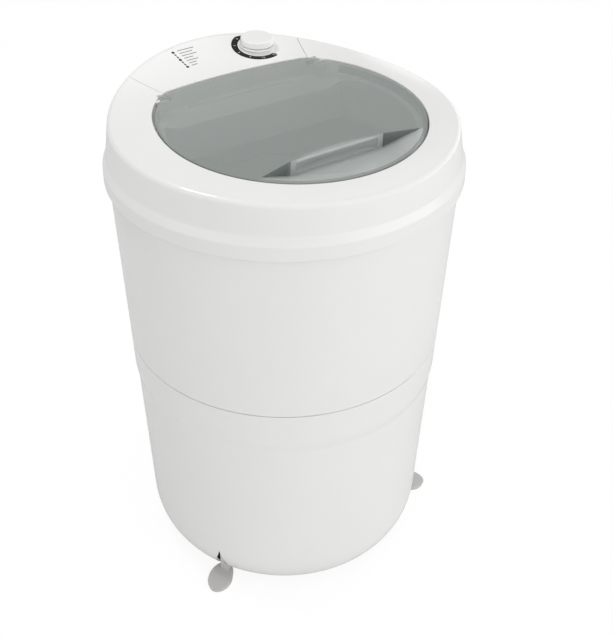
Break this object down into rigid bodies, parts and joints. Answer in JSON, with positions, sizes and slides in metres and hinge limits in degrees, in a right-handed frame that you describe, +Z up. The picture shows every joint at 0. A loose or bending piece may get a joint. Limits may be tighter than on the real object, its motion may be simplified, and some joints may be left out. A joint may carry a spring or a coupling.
{
  "type": "semi-automatic washing machine",
  "caption": "Round top-loading tub washer with a slanted top cover, a see-through hinged lid, one timer knob and a belt-driven pulsator inside, standing on splayed feet.",
  "frame": {"origin": "on the floor under the middle of the body's round section", "axes": "+Z up along the axis of the tub, -Y towards the front (the finger grip of the lid), +X to the right seen from the front"},
  "size_m": [0.489, 0.49, 0.753],
  "materials": {
    "white_plastic": "smooth moulded, slightly glossy",
    "soft_white_plastic": "smooth moulded polypropylene",
    "grey_plastic": "moulded, fine grain",
    "black_plastic": "moulded, fine grain",
    "smoky_clear_plastic": "clear moulded with a grey tint",
    "rubber": "matt",
    "zinc_steel": "zinc plated",
    "dark_steel": "stacked steel sheets, varnished",
    "cast_aluminium": "die cast",
    "copper": "enamelled copper wire",
    "brass": "turned"
  },
  "bodies": {
    "root": {"lower_shell": "white_plastic", "upper_shell": "white_plastic", "top_cover": "white_plastic", "control_panel": "white_plastic", "knob_bezel": "white_plastic", "wash_tub": "soft_white_plastic", "foot_front_left": "grey_plastic", "foot_front_right": "grey_plastic", "foot_rear": "grey_plastic", "drain_strainer": "grey_plastic", "drain_outlet": "grey_plastic", "drain_spigot": "grey_plastic", "base_cover": "black_plastic", "timer_body": "black_plastic", "cable_gland": "black_plastic", "shaft_seal": "rubber", "drive_belt": "rubber", "drain_hose": "rubber", "timer_nut": "zinc_steel", "capacitor_clamp": "zinc_steel", "capacitor_clamp_screw": "zinc_steel", "shell_screw_1": "zinc_steel", "shell_screw_2": "zinc_steel", "shell_screw_3": "zinc_steel", "cover_screw_1": "zinc_steel", "cover_screw_2": "zinc_steel", "cover_screw_3": "zinc_steel", "base_cover_screw_1": "zinc_steel", "base_cover_screw_2": "zinc_steel", "base_cover_screw_3": "zinc_steel", "foot_screw_1": "zinc_steel", "foot_screw_2": "zinc_steel", "foot_screw_3": "zinc_steel", "motor_screw_1": "zinc_steel", "motor_screw_2": "zinc_steel", "motor_screw_3": "zinc_steel", "motor_screw_4": "zinc_steel", "motor_stator": "dark_steel", "bearing_housing": "cast_aluminium", "motor_upper_frame": "cast_aluminium", "motor_lower_frame": "cast_aluminium", "capacitor": "cast_aluminium", "motor_windings": "copper", "upper_bush": "brass", "lower_bush": "brass", "thrust_washer": "brass"},
    "lid": {"lid": "smoky_clear_plastic", "lid_pin_left": "zinc_steel", "lid_pin_right": "zinc_steel"},
    "knob": {"timer_knob": "white_plastic", "timer_shaft": "brass"},
    "pulsator": {"pulsator": "white_plastic", "pulsator_bolt": "zinc_steel", "drive_shaft": "zinc_steel", "driven_pulley": "cast_aluminium", "pulley_nut": "zinc_steel"},
    "rotor": {"motor_rotor": "dark_steel", "motor_shaft": "zinc_steel", "motor_pulley": "cast_aluminium", "motor_fan": "black_plastic"}
  },
  "joints": [
    {"name": "lid_hinge", "type": "hinge", "parent": "root", "child": "lid", "pos_m": [0, 0.11108, 0.72376], "axis": [-1, 0, 0], "range_deg": [0, 105]},
    {"name": "timer_turn", "type": "hinge", "parent": "root", "child": "knob", "pos_m": [0.06671, 0.17842, 0.7381], "axis": [0, 0.0698, -0.9976], "range_deg": [0, 200]},
    {"name": "pulsator_spin", "type": "hinge", "parent": "root", "child": "pulsator", "pos_m": [0, 0, 0.2], "axis": [0, 0, 1], "continuous": true},
    {"name": "motor_spin", "type": "hinge", "parent": "root", "child": "rotor", "pos_m": [0, 0.135, 0.1], "axis": [0, 0, 1], "continuous": true}
  ],
  "couplings": [
    {"joint": "motor_spin", "follows": "pulsator_spin", "ratio": 4.17}
  ]
}
